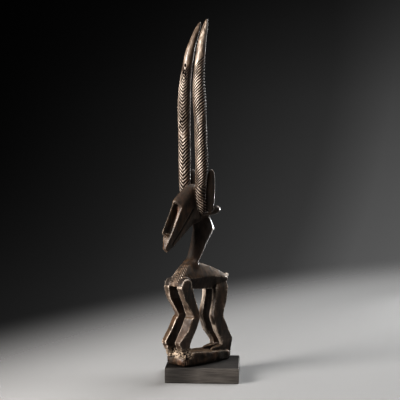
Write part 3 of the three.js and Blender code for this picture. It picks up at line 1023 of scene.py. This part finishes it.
class Material(Tree):
    def __init__(self, name):
        self.material = bpy.data.materials.new(name)
        self.material.use_nodes = True
        super().__init__(self.material.node_tree)
        self.shader = self.tree.nodes["Principled BSDF"]
        self.coords = self.new("ShaderNodeTexCoord").outputs["Object"]

    def mapping(self, scale):
        return self.new("ShaderNodeMapping", {"Vector": self.coords, "Scale": scale}).outputs["Vector"]

    def noise(self, vector, scale, detail=3.0, rough=0.55, twist=0.0):
        values = {"Vector": vector, "Scale": scale, "Detail": detail, "Roughness": rough,
                  "Distortion": twist}
        return self.new("ShaderNodeTexNoise", values).outputs["Fac"]

    def attribute(self, name):
        return self.new("ShaderNodeAttribute", attribute_name=name).outputs["Fac"]

    def bump(self, height, distance, strength, base=None):
        values = {"Height": height, "Distance": distance, "Strength": strength}
        if base is not None:
            values["Normal"] = base
        return self.new("ShaderNodeBump", values).outputs["Normal"]

    def finish(self, colour, roughness, normal):
        for name, value in (("Base Color", colour), ("Roughness", roughness), ("Normal", normal)):
            self.tree.links.new(value, self.shader.inputs[name])
        return self.material


patina = {
    "dark": [(0.38, (0.015, 0.013, 0.0105)), (0.62, (0.070, 0.041, 0.024))],
    "warm": [(0.35, (0.042, 0.030, 0.015)), (0.65, (0.088, 0.038, 0.018))],
    # colour of dust and of painted light from above
    "dustAndTopLightColour": [(0.38, (0.045, 0.033, 0.020)), (0.62, (0.16, 0.105, 0.062))],
    # colour of rubbed wood, for wear and for painted highlights
    "rubbed": [(0.15, (0.130, 0.088, 0.060)), (0.5, (0.265, 0.215, 0.175)), (1.0, (0.50, 0.425, 0.36))],
    "crust": [(0.3, (0.20, 0.155, 0.115)), (0.6, (0.40, 0.32, 0.245))],
    "mottle": (0.012, 0.009, 0.007),
    "bareWood": (0.080, 0.027, 0.005),
    # colour of grime and of painted shade in hollows, grooves, under the flank and on the neck
    "grimeAndShade": (0.010, 0.006, 0.004),
    # m that the marks in the finish stand in or out
    "streakBump": 0.0006,
    "grainBump": 0.0005,
    "poreBump": 0.0004,
}


def patinatedWood():
    wood = Material("patinated_wood")
    grain = wood.noise(wood.mapping((1, 1, 0.07)), 260, 5, 0.6, 0.4)
    streaks = wood.noise(wood.mapping((1, 1, 0.13)), 120, 4, 0.65, 0.3)
    patches = wood.noise(wood.coords, 14, 4, 0.6)
    tint = wood.noise(wood.mapping((1.3, 1, 0.7)), 26, 3)
    speckle = wood.noise(wood.coords, 420, 3, 0.7)
    mottle = wood.noise(wood.mapping((1, 1, 0.4)), 110, 3, 0.6, 0.5)
    wearAndHighlight, grimeAndShade, crust, bare, dustAndTopLight = [wood.attribute(name) for name in markNames]
    dark, warm = wood.ramp(streaks, patina["dark"]), wood.ramp(tint, patina["warm"])
    colour = wood.mix(wood.spread(patches, 0.38, 0.68, 0.0, 0.7), dark, warm)
    colour = wood.mix(wood.spread(mottle, 0.48, 0.62, 0.0, 0.55), colour, patina["mottle"])
    # dust and painted top light on upward faces
    dustAndTopLightShare = wood.math("MULTIPLY", dustAndTopLight, wood.spread(tint, 0.3, 0.6, 0.55, 0.95))
    colour = wood.mix(dustAndTopLightShare, colour, wood.ramp(streaks, patina["dustAndTopLightColour"]))
    # whole on the edges, broken up by streaks and mottle where only half worn
    broken = wood.spread(streaks, 0.36, 0.64, 0.4, 1.05)
    broken = wood.math("ADD", broken, wood.spread(mottle, 0.36, 0.64, 0.32, -0.05))
    # rubbed colour: wear and painted highlight
    rubbed = wood.spread(wood.math("MULTIPLY", wearAndHighlight, broken), 0.12, 0.9, 0.0, 1.0)
    colour = wood.mix(rubbed, colour, wood.ramp(rubbed, patina["rubbed"]))
    crusted = wood.math("MULTIPLY", crust, wood.spread(patches, 0.35, 0.6, 0.6, 0.95))
    colour = wood.mix(crusted, colour, wood.ramp(speckle, patina["crust"]))
    colour = wood.mix(wood.math("MULTIPLY", bare, 0.9), colour, patina["bareWood"])
    # grime and painted shade darken the colour
    colour = wood.mix(wood.spread(grimeAndShade, 0.0, 0.8, 0.0, 0.94), colour, patina["grimeAndShade"])
    roughness = wood.spread(patches, 0.3, 0.7, 0.40, 0.54)
    for more in (wood.math("MULTIPLY", grimeAndShade, 0.5), wood.math("MULTIPLY", wearAndHighlight, -0.16),
                 wood.spread(mottle, 0.36, 0.64, -0.07, 0.12),
                 wood.math("MULTIPLY", wood.math("MAXIMUM", crust, dustAndTopLight), 0.12)):
        roughness = wood.math("ADD", roughness, more)
    normal = wood.bump(streaks, patina["streakBump"], 0.4)
    normal = wood.bump(grain, patina["grainBump"], 0.35, normal)
    normal = wood.bump(wood.noise(wood.coords, 700, 2), patina["poreBump"], 0.25, normal)
    return wood.finish(colour, roughness, normal)


stain = {
    "grain": [(0.36, (0.050, 0.044, 0.040)), (0.64, (0.130, 0.118, 0.107))],
    "bands": (0.036, 0.032, 0.029),
    # painted shade: the top face is coloured darker than the sides
    "top": (0.012, 0.011, 0.010),
    "shadedTopFrom": (0.0308, 0.0318),  # m up, where the painted shade on the top starts
    # painted contact shadow round the carving's foot: colour, middle and half sizes in m
    "footShadow": (0.006, 0.005, 0.0045),
    "footShadowPlace": (-0.0048, 0.0054, 0),
    "footShadowReach": (0.086, 0.037, 1),
}


def stainedWood():
    wood = Material("stained_wood")
    grain = wood.noise(wood.mapping((0.05, 1, 1)), 420, 5, 0.62, 0.3)
    bands = wood.noise(wood.mapping((0.12, 1, 1)), 60, 3)
    colour = wood.ramp(grain, stain["grain"])
    colour = wood.mix(wood.spread(bands, 0.35, 0.65, 0.0, 0.5), colour, stain["bands"])
    # painted shade on the plinth's top
    shadedTop = wood.spread(wood.heightOf(wood.coords), *stain["shadedTopFrom"], 0.0, 0.88)
    colour = wood.mix(shadedTop, colour, stain["top"])
    # painted shadow: the plinth's top is darker round the carving's foot
    footShadow = {"Vector": wood.coords, "Location": stain["footShadowPlace"], "Scale": stain["footShadowReach"],
            "Rotation": (0, 0, radians(figure["heading"]))}
    around = wood.new("ShaderNodeMapping", footShadow, vector_type="TEXTURE").outputs["Vector"]
    footShadowShare = wood.spread(wood.measure("LENGTH", around), 0.95, 1.4, 0.85, 0.0)
    colour = wood.mix(footShadowShare, colour, stain["footShadow"])
    roughness = wood.spread(grain, 0.3, 0.7, 0.42, 0.56)
    return wood.finish(colour, roughness, wood.bump(grain, 0.0004, 0.4))


skin.data.materials.clear()
skin.data.materials.append(patinatedWood())
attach(skin, "root")
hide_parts("headdress")

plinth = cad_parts["plinth"]
for slot in plinth.material_slots:
    slot.material = stainedWood()

# Floor, light and camera

studio = {
    "floorMiddle": (3.81, -1.29, 0),
    "floorEdge": (4.22, 4.84),  # m from its middle, where the floor fades into the backdrop; the middle lies far to the right, so the fade is also painted shade towards the back left
    "floorGrey": 0.22,
    "floorRoughness": 0.75,
    # name, place, aim, size, watts, spread in degrees, colour
    "lights": [("key", (-1.2, -0.9, 0.96), (0, 0, 0.38), (0.6, 1.0), 58, 180, (1, 0.965, 0.93)),
               ("rim", (0.70, 1.33, 0.55), (0, 0, 0.42), (0.2, 1.0), 0.5, 42, (1, 1, 1)),
               ("napeRim", (0.75, 1.30, 0.305), (0, 0, 0.305), (0.1, 0.1), 0.056, 6, (1, 1, 1)),
               ("top", (1.15, 0.80, 2.0), (1.0, 0.72, 0), (1.7, 1.7), 66, 180, (1, 1, 1))],
    # brightness of the backdrop by height, and how it falls into shadow towards the dark side
    "byHeight": [(0.433, 1.35), (0.4755, 1.17), (0.5, 1.03), (0.5245, 0.85), (0.549, 0.58), (0.57, 0.38),
                 (0.6, 0.15)],
    "darkSide": (-0.42, 0.90, 0.105),
    "bySide": [(0.75, 0.11), (0.84, 0.08), (0.87, 0.044), (0.906, 0.032), (0.94, 0.0175), (0.967, 0.0085),
               (0.982, 0.0035)],
    "lens": 91.35,
    "eye": (0.1038, -2.1140, 0.4762),
    "eyeTurn": (87.18, 0, 3),  # degrees
}


def floorPiece():
    form = bmesh.new()
    disc = bmesh.ops.create_circle(form, cap_ends=True, segments=128, radius=studio["floorEdge"][1])
    bmesh.ops.translate(form, vec=studio["floorMiddle"], verts=disc["verts"])
    piece = asObject(form, "floor")
    pale = Material("pale_floor")
    pale.shader.inputs["Base Color"].default_value = (*[studio["floorGrey"]] * 3, 1)
    pale.shader.inputs["Roughness"].default_value = studio["floorRoughness"]
    # painted shade: the floor fades out towards the back left
    away = pale.measure("DISTANCE", pale.coords, studio["floorMiddle"])
    edge = pale.spread(away, *studio["floorEdge"], 1.0, 0.0)
    edge.node.interpolation_type = "SMOOTHSTEP"
    pale.tree.links.new(edge, pale.shader.inputs["Alpha"])
    piece.data.materials.append(pale.material)


floorPiece()


def areaLight(name, place, aim, size, power, spread, colour):
    lamp = bpy.data.lights.new(name, "AREA")
    lamp.spread = radians(spread)
    lamp.shape = "RECTANGLE"
    lamp.size, lamp.size_y = size
    lamp.energy = power
    lamp.color = colour
    holder = addObject(name, lamp)
    holder.location = place
    holder.rotation_euler = (Vector(aim) - Vector(place)).to_track_quat("-Z", "Y").to_euler()


for light in studio["lights"]:
    areaLight(*light)


def backdropShade():
    world = bpy.data.worlds.new("studio")
    bpy.context.scene.world = world
    world.use_nodes = True
    sky = Tree(world.node_tree)
    direction = sky.new("ShaderNodeTexCoord").outputs["Generated"]
    height = sky.spread(sky.heightOf(direction), -1.0, 1.0, 0.0, 1.0)
    aside = sky.measure("DOT_PRODUCT", direction, studio["darkSide"])
    shades = [sky.ramp(value, [(position, (grey, grey, grey)) for position, grey in stops])
              for value, stops in ((height, studio["byHeight"]), (aside, studio["bySide"]))]
    both = sky.mix(1.0, *shades)
    both.node.blend_type = "MULTIPLY"
    sky.tree.links.new(both, sky.tree.nodes["Background"].inputs["Color"])


backdropShade()

camera = bpy.data.cameras.new("camera")
camera.sensor_width = 36
camera.lens = studio["lens"]
viewer = addObject("camera", camera)
viewer.location = studio["eye"]
viewer.rotation_euler = [radians(angle) for angle in studio["eyeTurn"]]
bpy.context.scene.camera = viewer
bpy.context.scene.view_settings.view_transform = "Standard"
bpy.context.scene.view_settings.look = "High Contrast"

print("faces:", len(skin.data.polygons))
